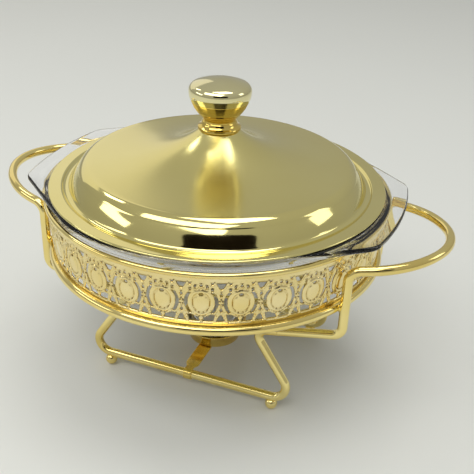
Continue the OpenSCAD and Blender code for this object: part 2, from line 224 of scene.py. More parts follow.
def tube(path, radius, sides=WIRE_STEPS, first=(0, 1, 0)):
    """Round wire along a path, with flat ends."""
    p = [np.array(q, float) for q in path]
    side = np.array(first, float)
    verts = []
    for i, q in enumerate(p):
        ahead = unit(p[min(i + 1, len(p) - 1)] - p[max(i - 1, 0)])
        side = unit(side - (side @ ahead) * ahead)
        across = np.cross(ahead, side)
        for k in range(sides):
            a = 2 * pi * k / sides
            verts.append(tuple(q + radius * (cos(a) * side + sin(a) * across)))
    faces = []
    for i in range(len(p) - 1):
        for k in range(sides):
            m = (k + 1) % sides
            faces.append((i * sides + k, i * sides + m, (i + 1) * sides + m, (i + 1) * sides + k))
    faces.append(tuple(reversed(range(sides))))
    faces.append(tuple(range((len(p) - 1) * sides, len(p) * sides)))
    return verts, faces


def bead(centre, along, half_length, radius, sides=16, rings=8):
    """Weld bead: an egg-shaped blob along a direction."""
    ahead = unit(np.array(along, float))
    helper = np.array((0, 0, 1.0)) if abs(ahead[2]) < 0.9 else np.array((1.0, 0, 0))
    side = unit(np.cross(ahead, helper))
    across = np.cross(ahead, side)
    centre = np.array(centre, float)
    verts = [tuple(centre - half_length * ahead)]
    for i in range(1, rings):
        t = pi * i / rings
        for k in range(sides):
            a = 2 * pi * k / sides
            out = radius * sin(t) * (cos(a) * side + sin(a) * across)
            verts.append(tuple(centre - half_length * cos(t) * ahead + out))
    verts.append(tuple(centre + half_length * ahead))
    top = len(verts) - 1
    faces = [(0, 1 + (k + 1) % sides, 1 + k) for k in range(sides)]
    for i in range(rings - 2):
        base = 1 + i * sides
        for k in range(sides):
            m = (k + 1) % sides
            faces.append((base + k, base + m, base + sides + m, base + sides + k))
    base = 1 + (rings - 2) * sides
    faces += [(base + k, base + (k + 1) % sides, top) for k in range(sides)]
    return verts, faces


def joined(*parts):
    """Several (verts, faces) sets as one."""
    verts, faces = [], []
    for part_verts, part_faces in parts:
        shift = len(verts)
        verts += list(part_verts)
        faces += [tuple(i + shift for i in f) for f in part_faces]
    return verts, faces


def turned(part, sx, sy):
    """Mirrored copy of (verts, faces) in X and Y."""
    verts, faces = part
    verts = [(sx * x, sy * y, z) for x, y, z in verts]
    if sx * sy < 0:
        faces = [tuple(reversed(f)) for f in faces]
    return verts, faces


def place(name, part, material, body, slot, *nodes, sharp_deg=35.0):
    """Makes a piece that stands for CAD nodes and moves with their body."""
    obj = mesh_object(name, *part, material, sharp_deg)
    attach(obj, body)
    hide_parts(*nodes)
    return obj


# ---------------------------------------------------------------- materials

class Recipe:
    """A new node material, with short ways to add textures in the object's own space."""

    def __init__(self, name):
        self.material = bpy.data.materials.new(name)
        self.material.use_nodes = True
        self.tree = self.material.node_tree
        self.shader = self.tree.nodes["Principled BSDF"]
        self.where = self.add("ShaderNodeTexCoord").outputs["Object"]

    def add(self, kind, **values):
        """Adds a node. Each value goes to the input of that name, or else to the property."""
        node = self.tree.nodes.new(kind)
        for key, value in values.items():
            if key in node.inputs:
                node.inputs[key].default_value = value
            else:
                setattr(node, key, value)
        return node

    def link(self, source, target):
        self.tree.links.new(source, target)

    def set(self, socket, value):
        """Gives a shader socket one value for the whole surface."""
        self.shader.inputs[socket].default_value = value

    def feed(self, socket, source):
        """Feeds a shader socket from a node's output."""
        self.link(source, self.shader.inputs[socket])

    def noise(self, scale, **values):
        node = self.add("ShaderNodeTexNoise", Scale=scale, **values)
        self.link(self.where, node.inputs["Vector"])
        return node.outputs["Fac"]

    def stretch(self, source, low, high, out_low=0.0, out_high=1.0):
        """Stretches a texture's value from one range to another."""
        node = self.add("ShaderNodeMapRange")
        node.inputs["From Min"].default_value = low
        node.inputs["From Max"].default_value = high
        node.inputs["To Min"].default_value = out_low
        node.inputs["To Max"].default_value = out_high
        self.link(source, node.inputs["Value"])
        return node.outputs["Result"]

    def tint(self, share, first, second):
        """Mixes from one colour to another. A colour is three numbers or a node's output."""
        node = self.add("ShaderNodeMix", data_type="RGBA")
        self.link(share, node.inputs["Factor"])
        # A Mix node's colour sockets are inputs 6 and 7 and output 2
        for index, colour in ((6, first), (7, second)):
            if isinstance(colour, tuple):
                node.inputs[index].default_value = (*colour, 1)
            else:
                self.link(colour, node.inputs[index])
        return node.outputs[2]

    def bump(self, height, strength, distance, over=None):
        """Bump from a texture's value, laid over another bump if one is given."""
        node = self.add("ShaderNodeBump", Strength=strength, Distance=distance)
        self.link(height, node.inputs["Height"])
        if over is not None:
            self.link(over, node.inputs["Normal"])
        return node.outputs["Normal"]


SATIN_LINES = 2600.0
SATIN_EDGE = 0.004


def satin_inside(recipe, polish, edge, satin):
    """Roughness of a turned satin finish inside a radius in metres, and the polish outside it."""
    flat = recipe.add("ShaderNodeVectorMath", operation="MULTIPLY")
    flat.inputs[1].default_value = (1, 1, 0)
    recipe.link(recipe.where, flat.inputs[0])
    radius = recipe.add("ShaderNodeVectorMath", operation="LENGTH")
    recipe.link(flat.outputs[0], radius.inputs[0])
    inside = recipe.stretch(radius.outputs["Value"], edge, edge - SATIN_EDGE)
    lines = recipe.add("ShaderNodeTexNoise", noise_dimensions="1D", Scale=SATIN_LINES, Detail=2.0)
    recipe.link(radius.outputs["Value"], lines.inputs["W"])
    turned_rough = recipe.stretch(lines.outputs["Fac"], 0.3, 0.7, satin * 0.9, satin * 1.1)
    # A Mix node's number sockets are inputs 2 and 3 and output 0
    finish = recipe.add("ShaderNodeMix", data_type="FLOAT")
    recipe.link(inside, finish.inputs[0])
    recipe.link(polish, finish.inputs[2])
    recipe.link(turned_rough, finish.inputs[3])
    return finish.outputs[0]


def painted_corner_shade(recipe, colour, deep, reach):
    """Painted shade: the colour turns darker in the corners and hollows of a stamped pattern, where ambient
    occlusion finds other surfaces close by.
    """
    corner = recipe.add("ShaderNodeAmbientOcclusion", samples=6, Distance=reach)
    corner_shade_colour = (deep[0] * 0.5, deep[1] * 0.42, deep[2] * 0.3)
    # Painted shade: the more occluded a point, the nearer its colour comes to the dark tone
    return recipe.tint(recipe.stretch(corner.outputs["AO"], 0.45, 0.9), corner_shade_colour, colour)


def plated(name, pale, deep, rough, blotch=18.0, grain=900.0, bump=0.02, ripple=0.0, brushed=None,
           corner_shade_reach=0.0):
    """Polished plating: two tints in soft clouds, uneven polish, and a fine grain.
    rough is a (lowest, highest) pair; ripple adds a slow waviness of hand polishing.
    brushed is a (radius, roughness) pair for satin_inside; the last argument is how far the painted corner
    shade reaches."""
    recipe = Recipe(name)
    clouds = recipe.noise(blotch, Detail=4.0, Roughness=0.55)
    colour = recipe.tint(recipe.stretch(clouds, 0.35, 0.65), deep, pale)
    # Painted shade: darkens the base colour in corners and hollows
    if corner_shade_reach:
        colour = painted_corner_shade(recipe, colour, deep, corner_shade_reach)
    recipe.feed("Base Color", colour)
    recipe.set("Metallic", 1.0)
    wipe = recipe.noise(grain * 0.12, Detail=5.0, Roughness=0.7)
    polish = recipe.stretch(wipe, 0.3, 0.75, *rough)
    if brushed:
        polish = satin_inside(recipe, polish, *brushed)
    recipe.feed("Roughness", polish)
    slow = recipe.bump(recipe.noise(55.0, Detail=1.0), ripple, 0.0006) if ripple else None
    recipe.feed("Normal", recipe.bump(recipe.noise(grain, Detail=3.0), bump, 0.0002, slow))
    return recipe.material


def clear_glass():
    """Pressed glass: clear, faintly blue-grey in depth, with a slight waviness."""
    recipe = Recipe("clear_glass")
    recipe.set("Transmission Weight", 1.0)
    recipe.set("IOR", 1.4)
    recipe.set("Roughness", 0.0)
    shade = recipe.noise(12.0, Detail=2.0)
    recipe.feed("Base Color", recipe.tint(shade, (0.965, 0.975, 0.985), (0.99, 0.985, 1.0)))
    recipe.feed("Normal", recipe.bump(recipe.noise(26.0, Detail=1.0), 0.05, 0.0005))
    depth = recipe.add("ShaderNodeVolumeAbsorption", Color=(0.50, 0.60, 0.70, 1), Density=3.0)
    recipe.link(depth.outputs["Volume"], recipe.tree.nodes["Material Output"].inputs["Volume"])
    return recipe.material


def candle_wax():
    """Paraffin: milky, slightly mottled, soft sheen."""
    recipe = Recipe("wax")
    clouds = recipe.noise(160.0, Detail=4.0)
    recipe.feed("Base Color", recipe.tint(clouds, (0.82, 0.79, 0.70), (0.93, 0.91, 0.86)))
    recipe.set("Subsurface Weight", 0.4)
    recipe.set("Subsurface Radius", (0.004, 0.003, 0.002))
    recipe.feed("Roughness", recipe.stretch(clouds, 0.3, 0.7, 0.32, 0.5))
    recipe.feed("Normal", recipe.bump(clouds, 0.15, 0.0004))
    return recipe.material


def braided_cotton():
    """Wick: off-white braid, darker where it has been waxed."""
    recipe = Recipe("wick_cotton")
    braid = recipe.add("ShaderNodeTexWave", Scale=700.0, Distortion=2.0, Detail=2.0,
                       bands_direction="DIAGONAL")
    recipe.link(recipe.where, braid.inputs["Vector"])
    recipe.feed("Base Color", recipe.tint(braid.outputs["Fac"], (0.50, 0.44, 0.34), (0.88, 0.84, 0.74)))
    recipe.set("Roughness", 0.85)
    recipe.feed("Normal", recipe.bump(braid.outputs["Fac"], 0.6, 0.0003))
    return recipe.material


def matt(name, scale, first, second, rough, specular):
    """Matt surface in two close tones, for what stands round the dish."""
    recipe = Recipe(name)
    recipe.feed("Base Color", recipe.tint(recipe.noise(scale, Detail=2.0), first, second))
    recipe.set("Roughness", rough)
    recipe.set("Specular IOR Level", specular)
    return recipe.material


GOLD_WIRE = plated("gold_wire", (0.95, 0.80, 0.34), (0.88, 0.69, 0.23), (0.05, 0.13), ripple=0.05)
# The pierced sheet's colour carries painted shade in the corners of its stamped pattern
GOLD_BAND = plated("pierced_sheet", (0.96, 0.82, 0.44), (0.90, 0.73, 0.31), (0.12, 0.24),
                   blotch=40.0, bump=0.06, corner_shade_reach=0.0016)
GOLD_STRAP = plated("strap_gold", (0.88, 0.68, 0.20), (0.72, 0.50, 0.12), (0.14, 0.3),
                    blotch=60.0, bump=0.1)
GOLD_LID = plated("lid_gold", (0.86, 0.77, 0.34), (0.82, 0.72, 0.29), (0.06, 0.10),
                  blotch=9.0, bump=0.012, brushed=(0.0885, 0.19))
GOLD_KNOB = plated("knob_gold", (0.86, 0.66, 0.19), (0.74, 0.52, 0.11), (0.04, 0.10))
GOLD_CAP = plated("knob_cap_gold", (0.86, 0.80, 0.47), (0.80, 0.72, 0.38), (0.05, 0.12), bump=0.03)
FOIL = plated("tealight_aluminium", (0.88, 0.88, 0.90), (0.74, 0.75, 0.77), (0.2, 0.36),
              blotch=90.0, bump=0.12)
STEEL = plated("fastener_steel", (0.74, 0.75, 0.76), (0.58, 0.59, 0.61), (0.25, 0.42),
               blotch=200.0, bump=0.15)
GLASS = clear_glass()
WAX = candle_wax()
COTTON = braided_cotton()
DARK_CLOTH = matt("dark_cloth", 300.0, (0.006, 0.004, 0.004), (0.014, 0.009, 0.008), 0.95, 0.05)
FLOOR = matt("studio_floor", 1.2, (0.74, 0.75, 0.71), (0.78, 0.79, 0.75), 0.6, 0.25)


# ---------------------------------------------------------------- stand: rings, handles, feet

KNEE = np.array((KNEE_X, -FOOT_Y, KNEE_Z))
UPRIGHT_LOW = np.array((UPRIGHT_X, -UPRIGHT_Y, UPRIGHT_FOOT))
UPRIGHT_HIGH = np.array((UPRIGHT_X, -UPRIGHT_Y, UPRIGHT_TOP))
# Where a foot wire and a handle wire are butt welded, out of sight under the dish
WELD = KNEE + WELD_SHARE * (UPRIGHT_LOW - KNEE)
HANDLE_BEND = 8
BAR_BEND = 10
KNEE_BEND = 7


def wire_ring(radius, wire, z):
    return lathe(arc(radius, z, wire, 0, 360, 28)[:-1])


def handle_path():
    """Half of a handle: run under the dish, upright, side arc and half of the tip arc."""
    tilt = atan2(TIP_Z - UPRIGHT_TOP, TIP_X - UPRIGHT_X)
    reach = (TIP_X - UPRIGHT_X) / cos(tilt)
    turn, lead, tip_turn = radians(15), 10.0, radians(25)

    def on_loop(u, v):
        return UPRIGHT_HIGH + u * np.array((cos(tilt), 0, sin(tilt))) + v * np.array((0, 1.0, 0))

    # The side arc and the tip arc meet smoothly and end square to X at the tip
    u1, u2 = cos(tip_turn) - sin(turn), 1 - cos(tip_turn)
    v1, v2 = cos(turn) - sin(tip_turn), sin(tip_turn)
    u, v = reach - lead * cos(turn), UPRIGHT_Y - lead * sin(turn)
    scale = u1 * v2 - u2 * v1
    side_r, tip_r = (u * v2 - u2 * v) / scale, (u1 * v - u * v1) / scale
    lead_u, lead_v = lead * cos(turn), lead * sin(turn)
    corners = [WELD, UPRIGHT_LOW, UPRIGHT_HIGH, on_loop(lead_u, lead_v)]
    path = bent_route(corners, [HANDLE_BEND, HANDLE_BEND])[:-1]
    side_cu, side_cv = lead_u - side_r * sin(turn), lead_v + side_r * cos(turn)
    for a in np.linspace(turn, pi / 2 - tip_turn, 18):
        path.append(on_loop(side_cu + side_r * sin(a), side_cv - side_r * cos(a)))
    for a in np.linspace(pi / 2 - tip_turn, pi / 2, 9)[1:]:
        path.append(on_loop(reach - tip_r + tip_r * sin(a), UPRIGHT_Y - tip_r * cos(a)))
    return path


def build_handles():
    """Both handle wires, with their weld beads."""
    half = handle_path()
    across = [q * np.array((1, -1, 1)) for q in reversed(half[:-1])]
    wire = tube(half + across, WIRE_R)
    beads = []
    for side in (-1, 1):
        # Weld where the upright stands against the bottom ring
        reach = hypot(UPRIGHT_X, UPRIGHT_Y)
        outward = np.array((UPRIGHT_X, side * UPRIGHT_Y)) / reach
        middle = (RING_R + reach) / 2
        beads.append(bead((*(outward * middle), RING_Z), (0, 0, 1), 3.6, 2.1))
        # Butt weld to the foot wire
        beads.append(bead(half[0] * np.array((1, -side, 1)), half[1] - half[0], 1.2, WIRE_R + 0.25))
    loop = joined(wire, *beads)
    place("right_handle", loop, GOLD_WIRE, "stand", "gold_wire", "right_handle_wire")
    place("left_handle", turned(loop, -1, 1), GOLD_WIRE, "stand", "gold_wire", "left_handle_wire")


def build_feet():
    """Both foot wires: bar, sloping legs, knees and the runs to the welds."""
    base = np.array((LEG_BASE_X, -FOOT_Y, BAR_Z))
    middle = np.array((0, -FOOT_Y, BAR_Z))
    half = bent_route([middle, base, KNEE, WELD], [BAR_BEND, KNEE_BEND])
    mirror = [q * np.array((-1, 1, 1)) for q in reversed(half[1:])]
    wire = tube(mirror + half, WIRE_R)
    place("front_foot", wire, GOLD_WIRE, "stand", "gold_wire", "front_foot_wire")
    place("back_foot", turned(wire, 1, -1), GOLD_WIRE, "stand", "gold_wire", "back_foot_wire")


def build_ball_feet():
    for name in ("front_left", "front_right", "back_left", "back_right"):
        node = name + "_ball_foot"
        lo, hi = mm_box(node)
        middle = (lo + hi) / 2
        radius = (hi.x - lo.x) / 2
        ball_z = hi.z - radius
        flat = asin(-ball_z / radius)
        profile = [(0, 0)] + arc(0, ball_z, radius, degrees(flat), 62, 22)
        # The ball is welded to the bar through a short collar
        profile += [(2.3, ball_z + radius * 0.93), (2.2, BAR_Z - 1.0), (0, BAR_Z - 1.0)]
        verts, faces = lathe(profile, 48, closed=False)
        verts = [(x + middle.x, y + middle.y, z) for x, y, z in verts]
        place(name + "_ball", (verts, faces), GOLD_WIRE, "stand", "gold_wire", node, sharp_deg=50)


# ---------------------------------------------------------------- stand: pierced band

MOTIFS = 31
MOTIF_PHASE = radians(-72.2)
PITCH = 2 * pi * (BAND_R0 + BAND_R1) / 2 / MOTIFS
CELL_STEP = 0.56
OVAL = (7.2, 9.2)
OVAL_V = -0.3
BAND_SHARP = 50.0


def ellipse_gap(u, v, a, b, cu=0.0, cv=0.0):
    """Rough distance to an ellipse, below zero inside it."""
    u, v = (u - cu), (v - cv)
    k0 = np.sqrt((u / a) ** 2 + (v / b) ** 2) + 1e-9
    k1 = np.sqrt((u / a ** 2) ** 2 + (v / b ** 2) ** 2) + 1e-9
    return k0 * (k0 - 1) / k1


def trapezoid_gap(u, v, v0, half0, v1, half1):
    """Distance to a trapezoid that is symmetric about u = 0, below zero inside it."""
    lean = (half1 - half0) / (v1 - v0)
    side = (np.abs(u) - half0 - lean * (v - v0)) / sqrt(1 + lean ** 2)
    return np.maximum(side, np.maximum(min(v0, v1) - v, v - max(v0, v1)))


def openings(u, v):
    """Distance to the nearest opening of one cell; v is measured from mid-height."""
    au = np.abs(u)
    column = PITCH / 2 - au
    gaps = []
    # Crescents that hug the oval on both sides
    crescent = np.maximum(-ellipse_gap(u, v, 8.0, 10.2, cv=OVAL_V),
                          ellipse_gap(au, v, 8.1, 10.2, 1.9, OVAL_V))
    gaps.append(np.maximum(crescent, np.abs(v - OVAL_V) - 7.6))
    # Wide openings at both ends of the column between two ovals
    gaps.append(trapezoid_gap(column, v, 9.6, 0.9, 13.4, 2.9))
    gaps.append(trapezoid_gap(column, v, -9.6, 0.8, -14.0, 2.7))
    # Four dots at the column's waist
    gaps.append(np.hypot(column - 0.95, np.abs(v - OVAL_V) - 1.25) - 0.55)
    # A hole in each arm of the cross between two ovals
    gaps.append(ellipse_gap(column, np.abs(v - OVAL_V), 0.75, 1.3, 0.0, 5.6))
    # Row of small holes over the oval
    for k, turn in enumerate((90, 68, 47)):
        a = radians(turn)
        gaps.append(np.hypot(au - 9.4 * cos(a), v - OVAL_V - 12.2 * sin(a)) - (0.8, 0.7, 0.8)[k])
    gaps.append(np.hypot((au - 6.4) / 1.5, v - 13.5) - 0.55)
    # Curved triangles on both sides of the pendant
    under = np.maximum(-ellipse_gap(u, v, 8.7, 10.8, cv=OVAL_V), -13.9 - v)
    under = np.maximum(under, np.maximum(1.5 - au + (v + 11.2) * 0.35, au - 7.2 - (v + 13.9) * 0.25))
    gaps.append(np.maximum(under, v + 9.2))
    # Lens hole at the top of the oval's plate and a pair at its lower end
    gaps.append(ellipse_gap(u, v, 1.35, 0.8, cv=OVAL_V + 6.0))
    gaps.append(np.hypot(au - 1.3, v - OVAL_V + 6.6) - 0.5)
    return np.minimum.reduce(gaps)


def relief(u, v):
    """Height of the stamped pattern over the plain sheet, below zero where the ground is pressed back."""
    au = np.abs(u)
    ring = ellipse_gap(u, v, (OVAL[0] + 5.5) / 2, (OVAL[1] + 7.4) / 2, cv=OVAL_V)
    height = 0.95 * np.sqrt(np.clip(1 - (ring / 0.95) ** 2, 0, 1))
    plate = np.clip(-ellipse_gap(u, v, 4.9, 6.3, cv=OVAL_V - 0.7) / 2.2, 0, 1)
    height = np.maximum(height, 0.9 * np.sqrt(np.clip(1 - (1 - plate) ** 2, 0, 1)))
    # Pendant under the oval: a drop that widens to a lozenge
    lozenge = (au / 1.3 + np.abs(v + 11.6) / 2.1)
    height = np.maximum(height, 0.8 * np.clip(1.15 - lozenge, 0, 1))
    # Lips round the openings, and a bead line along each plain edge
    lip = 0.7 * np.exp(-((openings(u, v) - 0.5) / 0.45) ** 2)
    height = np.maximum(height, lip)
    for edge in (-BAND_H / 2 + 2.3, BAND_H / 2 - 2.3):
        height = np.maximum(height, 0.4 * np.exp(-((v - edge) / 0.5) ** 2))
    # The ground between the raised lines is pressed back
    return height - 0.4 * np.clip((BAND_H / 2 - np.abs(v)) / 2, 0, 1)


def kept_polygons(us, vs, field):
    """Marching squares: the parts of each grid square where the field is above zero."""
    points, index, polygons = [], {}, []

    def corner(i, j):
        return (us[i], vs[j]), field[i, j]

    def key_point(key, at):
        if key not in index:
            index[key] = len(points)
            points.append(at)
        return index[key]

    for i in range(len(us) - 1):
        for j in range(len(vs) - 1):
            square = [(i, j), (i + 1, j), (i + 1, j + 1), (i, j + 1)]
            polygon = []
            for k in range(4):
                here, there = square[k], square[(k + 1) % 4]
                (p, f), (q, g) = corner(*here), corner(*there)
                if f > 0:
                    polygon.append(key_point(here, p))
                if (f > 0) != (g > 0):
                    share = min(max(f / (f - g), 0.04), 0.96)
                    at = (p[0] + share * (q[0] - p[0]), p[1] + share * (q[1] - p[1]))
                    polygon.append(key_point(tuple(sorted((here, there))), at))
            if len(polygon) > 2:
                polygons.append(polygon)
    return np.array(points), polygons


def build_band():
    """One cell of the pattern is cut, raised and given thickness, then repeated round the ring."""
    columns = int(round(PITCH / CELL_STEP / 2)) * 2
    rows = int(round(BAND_H / CELL_STEP))
    us = np.linspace(-PITCH / 2, PITCH / 2, columns + 1)
    vs = np.linspace(-BAND_H / 2, BAND_H / 2, rows + 1)
    field = openings(*np.meshgrid(us, vs, indexing="ij"))
    flat, polygons = kept_polygons(us, vs, field)
    height = relief(flat[:, 0], flat[:, 1])
    count = len(flat)
    uses = {}
    for polygon in polygons:
        for a, b in zip(polygon, polygon[1:] + polygon[:1]):
            uses[(a, b)] = uses.get((a, b), 0) + 1
    on_seam = np.abs(np.abs(flat[:, 0]) - PITCH / 2) < 1e-6
    rims = [(a, b) for a, b in uses if (b, a) not in uses and not (on_seam[a] and on_seam[b])]
    cell_faces = [tuple(p) for p in polygons]
    cell_faces += [tuple(i + count for i in reversed(p)) for p in polygons]
    cell_faces += [(b, a, a + count, b + count) for a, b in rims]
    share = (flat[:, 1] + BAND_H / 2) / BAND_H
    middle = BAND_R0 + (BAND_R1 - BAND_R0) * share
    radii = np.concatenate([middle + BAND_T / 2 + height, middle - BAND_T / 2 + 0.85 * height])
    levels = np.tile(band_lo.z + share * BAND_H, 2)
    verts, faces = [], []
    for k in range(MOTIFS):
        turn = MOTIF_PHASE + 2 * pi * (k + np.tile(flat[:, 0], 2) / PITCH) / MOTIFS
        shift = len(verts)
        verts += list(zip(radii * np.cos(turn), radii * np.sin(turn), levels))
        faces += [tuple(i + shift for i in f) for f in cell_faces]
    obj = place("pierced_band_sheet", (verts, faces), GOLD_BAND, "stand", "pierced_sheet", "pierced_band",
                sharp_deg=BAND_SHARP)
    merge_seams(obj, 0.02 * MM, BAND_SHARP)


def merge_seams(obj, distance, sharp_deg):
    """Joins points that lie on each other, where one cell meets the next."""
    work = bmesh.new()
    work.from_mesh(obj.data)
    bmesh.ops.remove_doubles(work, verts=work.verts, dist=distance)
    work.to_mesh(obj.data)
    work.free()
    obj.data.set_sharp_from_angle(angle=radians(sharp_deg))


# ---------------------------------------------------------------- burner

def ribbon(path, widths, thickness, edge=0.35):
    """Flat strip along X-square path points (y, z), with rounded long edges."""
    corners = []
    for sx, sy, a0 in ((1, 1, 0), (-1, 1, 90), (-1, -1, 180), (1, -1, 270)):
        for k in range(4):
            a = radians(a0 + 30 * k)
            corners.append((sx, sy, edge * cos(a), edge * sin(a)))
    p = np.array(path, float)
    along = np.gradient(p, axis=0)
    along /= np.linalg.norm(along, axis=1)[:, None]
    verts = []
    for (y, z), (ay, az), width in zip(p, along, widths):
        for sx, sy, ex, ey in corners:
            x = sx * (width / 2 - edge) + ex
            n = sy * (thickness / 2 - edge) + ey
            verts.append((x, y - az * n, z + ay * n))
    sides = len(corners)
    faces = []
    for i in range(len(p) - 1):
        for k in range(sides):
            m = (k + 1) % sides
            faces.append((i * sides + m, i * sides + k, (i + 1) * sides + k, (i + 1) * sides + m))
    faces.append(tuple(range(sides)))
    faces.append(tuple(reversed(range((len(p) - 1) * sides, len(p) * sides))))
    return verts, faces


STRAP_WIDTH = 10.0
TONGUE_WIDTH = 6.0


def build_burner():
    """Strap with a narrow tongue curled round each bar, and the cup riveted on it."""
    strap_t = cup_lo.z - (BAR_Z + WIRE_R - 0.1)
    level = cup_lo.z - strap_t / 2
    curl_r = level - BAR_Z
    neck_y = FOOT_Y - 2.5
    shoulder_y = FOOT_Y - 7.0
    half = [(y, level) for y in np.linspace(0, shoulder_y, 12)]
    widths = [STRAP_WIDTH] * len(half)
    for k in range(1, 9):
        half.append((shoulder_y + (neck_y - shoulder_y) * k / 8, level))
        narrowing = 0.5 - 0.5 * cos(pi * k / 8)
        widths.append(STRAP_WIDTH - (STRAP_WIDTH - TONGUE_WIDTH) * narrowing)
    for a in np.linspace(90, -88, 24):
        half.append((FOOT_Y + curl_r * cos(radians(a)), BAR_Z + curl_r * sin(radians(a))))
        widths.append(TONGUE_WIDTH)
    path = [(-y, z) for y, z in reversed(half[1:])] + half
    strip = ribbon(path, list(reversed(widths[1:])) + widths, strap_t)
    place("strap", strip, GOLD_STRAP, "stand", "strap_gold", "burner_strap")

    floor_z, lip_z, lip_r = cup_lo.z, cup_hi.z, cup_hi.x
    floor_r = 19.4
    outer = spline([(floor_r - 1.6, floor_z), (floor_r - 0.4, floor_z + 0.4), (floor_r + 0.2, floor_z + 1.6),
                    (lip_r - 3.0, lip_z - 4.0), (lip_r - 1.5, lip_z - 1.4)], 6)
    lip = arc(lip_r - 0.6, lip_z - 0.6, 0.6, -80, 100, 10)
    inner = spline([(lip_r - 2.0, lip_z - 1.0), (lip_r - 3.6, lip_z - 4.0), (floor_r - 0.5, floor_z + 1.9),
                    (floor_r - 1.1, floor_z + 0.9), (floor_r - 2.0, floor_z + 0.6)], 6)
    grooves = [(r, floor_z + 0.6 + 0.14 * cos(r * 1.9)) for r in np.linspace(16, 5, 34)]
    profile = [(2.0, floor_z)] + outer + lip + inner + grooves + [(2.0, floor_z + 0.6)]
    place("cup", lathe(profile, 128), GOLD_STRAP, "stand", "strap_gold", "burner_cup")


def build_tealight():
    case_r, case_z, case_top = case_hi.x, case_lo.z, case_hi.z
    wall = case_r - 0.35

    def flutes(a, r, z):
        if r < wall - 1.2 or z > case_top - 1.0:
            return r
        return r + 0.13 * cos(64 * a)

    profile = [(0, case_z), (wall - 1.0, case_z)]
    profile += arc(wall - 0.8, case_z + 0.8, 0.8, -80, 0, 6)
    profile += [(wall, z) for z in np.linspace(case_z + 2, case_top - 1.2, 6)]
    profile += arc(case_r - 0.35, case_top - 0.35, 0.35, -60, 150, 8)
    profile += [(wall - 0.35, case_top - 1.2), (wall - 0.35, case_z + 1.2), (wall - 1.0, case_z + 0.4)]
    profile += [(0, case_z + 0.4)]
    place("tealight_cup", lathe(profile, 384, closed=False, wave=flutes), FOIL, "tealight",
          "tealight_aluminium", "tealight_case")

    wax_r, wax_top = wax_hi.x - 0.35, wax_hi.z
    wick_r = 0.75
    # The wax creeps up the case and the wick, and dips a little between them
    top = [(wax_r, wax_top), (wax_r - 0.6, wax_top - 0.5), (wax_r - 1.8, wax_top - 0.8),
           (wax_r - 6, wax_top - 0.95), (4.5, wax_top - 0.9), (1.8, wax_top - 0.55), (wick_r, wax_top)]
    profile = [(wick_r, wax_lo.z + 0.05), (wax_r, wax_lo.z + 0.05)] + spline(top, 6)
    place("wax_fill", lathe(profile, 96), WAX, "tealight", "wax", "tealight_wax")

    rise = wick_hi.z - wick_lo.z
    path = [(0.5 * max(0, t - 0.7) * sin(5 * t), 0.25 * max(0, t - 0.7), wick_lo.z + 0.05 + (rise - 0.1) * t)
            for t in np.linspace(0, 1, 24)]
    place("wick", tube(path, 0.62, 12), COTTON, "tealight", "wick_cotton", "tealight_wick")


# ---------------------------------------------------------------- glass dish

DISH_STEPS = 720


def tab_outline():
    """Outline of the dish in plan for y >= 0: circle, straight run, rounded corner, bulging end."""
    corner = np.array(TAB_CORNER)
    root = np.array(TAB_ROOT)
    bulge = TAB_X - corner[0]
    end_r = (corner[1] ** 2 + bulge ** 2) / (2 * bulge)
    end_c = TAB_X - end_r
    corner_turn = asin(corner[1] / end_r)
    to_root = unit(root - corner)
    to_tip = np.array((sin(corner_turn), -cos(corner_turn)))
    soften = 5.5
    start, stop = corner + soften * to_tip, corner + soften * to_root
    outline = [(end_c + end_r * cos(a), end_r * sin(a))
               for a in np.linspace(0, asin(start[1] / end_r), 40)]
    for t in np.linspace(0, 1, 16)[1:]:
        outline.append((1 - t) ** 2 * start + 2 * t * (1 - t) * corner + t ** 2 * stop)
    outline += [stop + (root - stop) * t for t in np.linspace(0, 1, 30)[1:]]
    return np.array(outline)


def rim_reach(angle, outline_angles, outline_radii):
    """Radius of the rim's outline at an angle round the dish."""
    folded = np.abs(np.arctan2(np.sin(angle), np.abs(np.cos(angle))))
    return np.where(folded < outline_angles[-1],
                    np.interp(folded, outline_angles, outline_radii), RIM_R)


